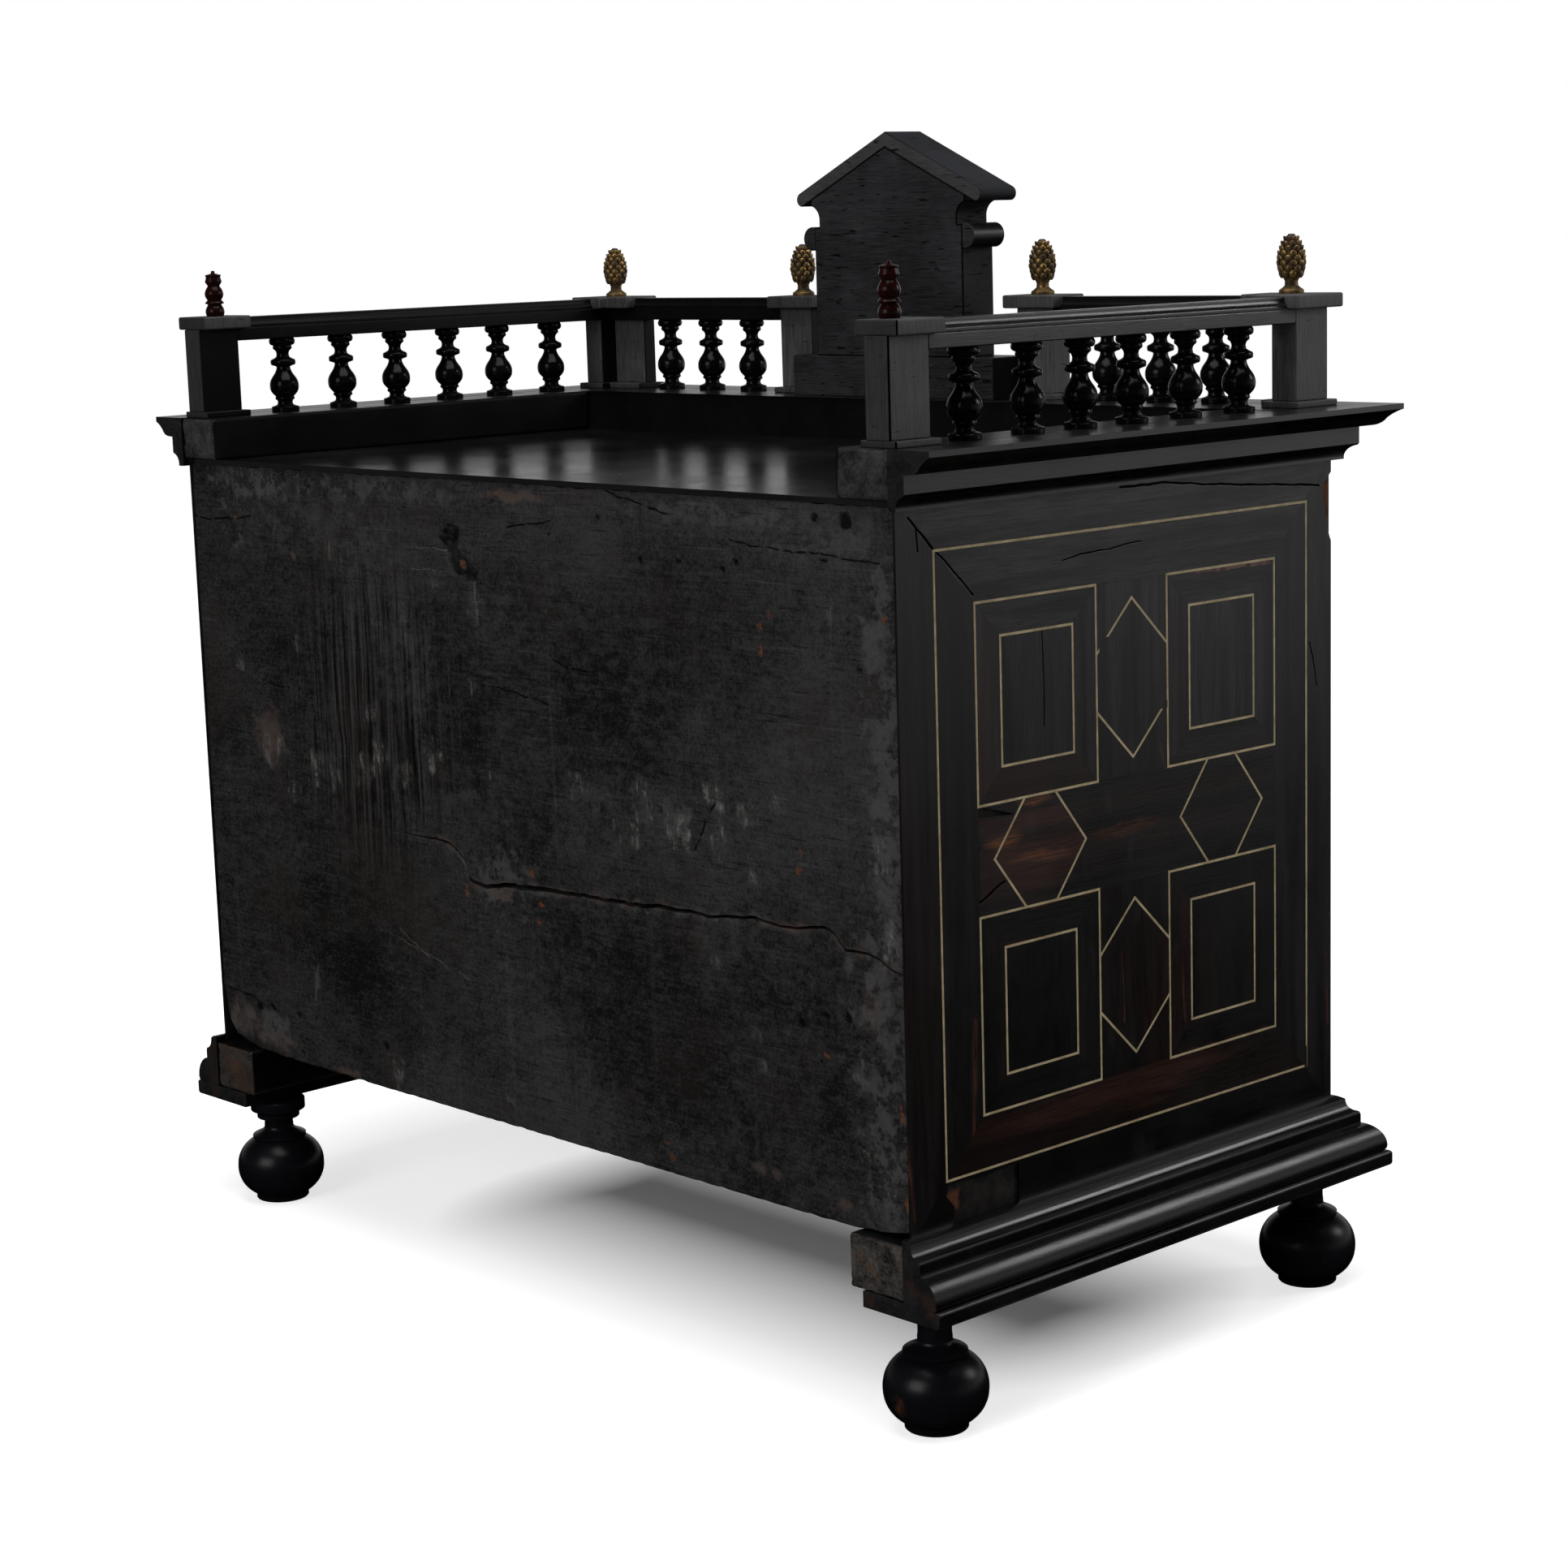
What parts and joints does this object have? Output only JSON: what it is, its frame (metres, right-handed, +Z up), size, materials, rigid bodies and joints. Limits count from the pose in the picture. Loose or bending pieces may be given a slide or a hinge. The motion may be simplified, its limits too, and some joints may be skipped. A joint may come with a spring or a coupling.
{
  "type": "jewelry cabinet",
  "caption": "Ebonised table cabinet with string-inlaid sides, drawers beside a cupboard door, bun feet, and a balustrade gallery with finials and a gabled crest.",
  "frame": {"origin": "on the ground, under the middle of the whole cabinet's box", "axes": "+Z up, +X to the right as seen from the front, -Y out of the front, so +Y out of the plain back"},
  "size_m": [0.8732, 0.4886, 0.856],
  "materials": {
    "carcase_wood": "dark stained, satin",
    "stained_boards": "rough boards, grey-black stain, worn",
    "dark_veneer": "dark streaked veneer, satin polish",
    "bone": "cream bone, satin",
    "raw_softwood": "raw aged softwood, painted black where it shows inside",
    "ebonised_wood": "ebonised, satin polish",
    "gilt_bronze": "aged gilt",
    "red_wood": "red-brown polish",
    "brass": "aged, dull",
    "drawer_wood": "plain oiled wood"
  },
  "bodies": {
    "cabinet": {"side_boards": "carcase_wood", "top_board": "carcase_wood", "bottom_board": "carcase_wood", "partitions": "carcase_wood", "dust_boards": "carcase_wood", "cupboard_shelf": "carcase_wood", "back_boards": "stained_boards", "veneer_upright_left": "dark_veneer", "veneer_upright_right": "dark_veneer", "veneer_level_left": "dark_veneer", "veneer_level_right": "dark_veneer", "stringing_left": "bone", "stringing_right": "bone", "base_blocks": "raw_softwood", "cornice_blocks": "raw_softwood", "base_moulding": "ebonised_wood", "base_torus": "ebonised_wood", "plinth_strip": "ebonised_wood", "bun_feet": "ebonised_wood", "bed_moulding": "ebonised_wood", "crown_moulding": "ebonised_wood", "gallery_posts": "ebonised_wood", "post_caps": "ebonised_wood", "post_bases": "ebonised_wood", "handrails": "ebonised_wood", "rail_cappings": "ebonised_wood", "balusters": "ebonised_wood", "crest_body": "ebonised_wood", "crest_mouldings": "ebonised_wood", "crest_roof": "ebonised_wood", "pinecone_finials": "gilt_bronze", "turned_finials": "red_wood", "door_pivots": "brass"},
    "door": {"door_panel": "dark_veneer", "door_stringing": "bone", "door_knob": "brass"},
    "drawer_1": {"drawer_1_front": "dark_veneer", "drawer_1_box": "drawer_wood", "drawer_1_knob": "brass"},
    "drawer_2": {"drawer_2_front": "dark_veneer", "drawer_2_box": "drawer_wood", "drawer_2_knob": "brass"},
    "drawer_3": {"drawer_3_front": "dark_veneer", "drawer_3_box": "drawer_wood", "drawer_3_knob": "brass"},
    "drawer_4": {"drawer_4_front": "dark_veneer", "drawer_4_box": "drawer_wood", "drawer_4_knob": "brass"},
    "drawer_5": {"drawer_5_front": "dark_veneer", "drawer_5_box": "drawer_wood", "drawer_5_knob": "brass"},
    "drawer_6": {"drawer_6_front": "dark_veneer", "drawer_6_box": "drawer_wood", "drawer_6_knob": "brass"},
    "drawer_7": {"drawer_7_front": "dark_veneer", "drawer_7_box": "drawer_wood", "drawer_7_knob": "brass"},
    "drawer_8": {"drawer_8_front": "dark_veneer", "drawer_8_box": "drawer_wood", "drawer_8_knob": "brass"}
  },
  "joints": [
    {"name": "door_hinge", "type": "hinge", "parent": "cabinet", "child": "door", "pos_m": [-0.109, -0.1977, 0.15], "axis": [0, 0, -1], "range_deg": [0, 90]},
    {"name": "drawer_1_slide", "type": "slide", "parent": "cabinet", "child": "drawer_1", "axis": [0, -1, 0], "range_m": [0, 0.28]},
    {"name": "drawer_2_slide", "type": "slide", "parent": "cabinet", "child": "drawer_2", "axis": [0, -1, 0], "range_m": [0, 0.28]},
    {"name": "drawer_3_slide", "type": "slide", "parent": "cabinet", "child": "drawer_3", "axis": [0, -1, 0], "range_m": [0, 0.28]},
    {"name": "drawer_4_slide", "type": "slide", "parent": "cabinet", "child": "drawer_4", "axis": [0, -1, 0], "range_m": [0, 0.28]},
    {"name": "drawer_5_slide", "type": "slide", "parent": "cabinet", "child": "drawer_5", "axis": [0, -1, 0], "range_m": [0, 0.28]},
    {"name": "drawer_6_slide", "type": "slide", "parent": "cabinet", "child": "drawer_6", "axis": [0, -1, 0], "range_m": [0, 0.28]},
    {"name": "drawer_7_slide", "type": "slide", "parent": "cabinet", "child": "drawer_7", "axis": [0, -1, 0], "range_m": [0, 0.28]},
    {"name": "drawer_8_slide", "type": "slide", "parent": "cabinet", "child": "drawer_8", "axis": [0, -1, 0], "range_m": [0, 0.28]}
  ]
}
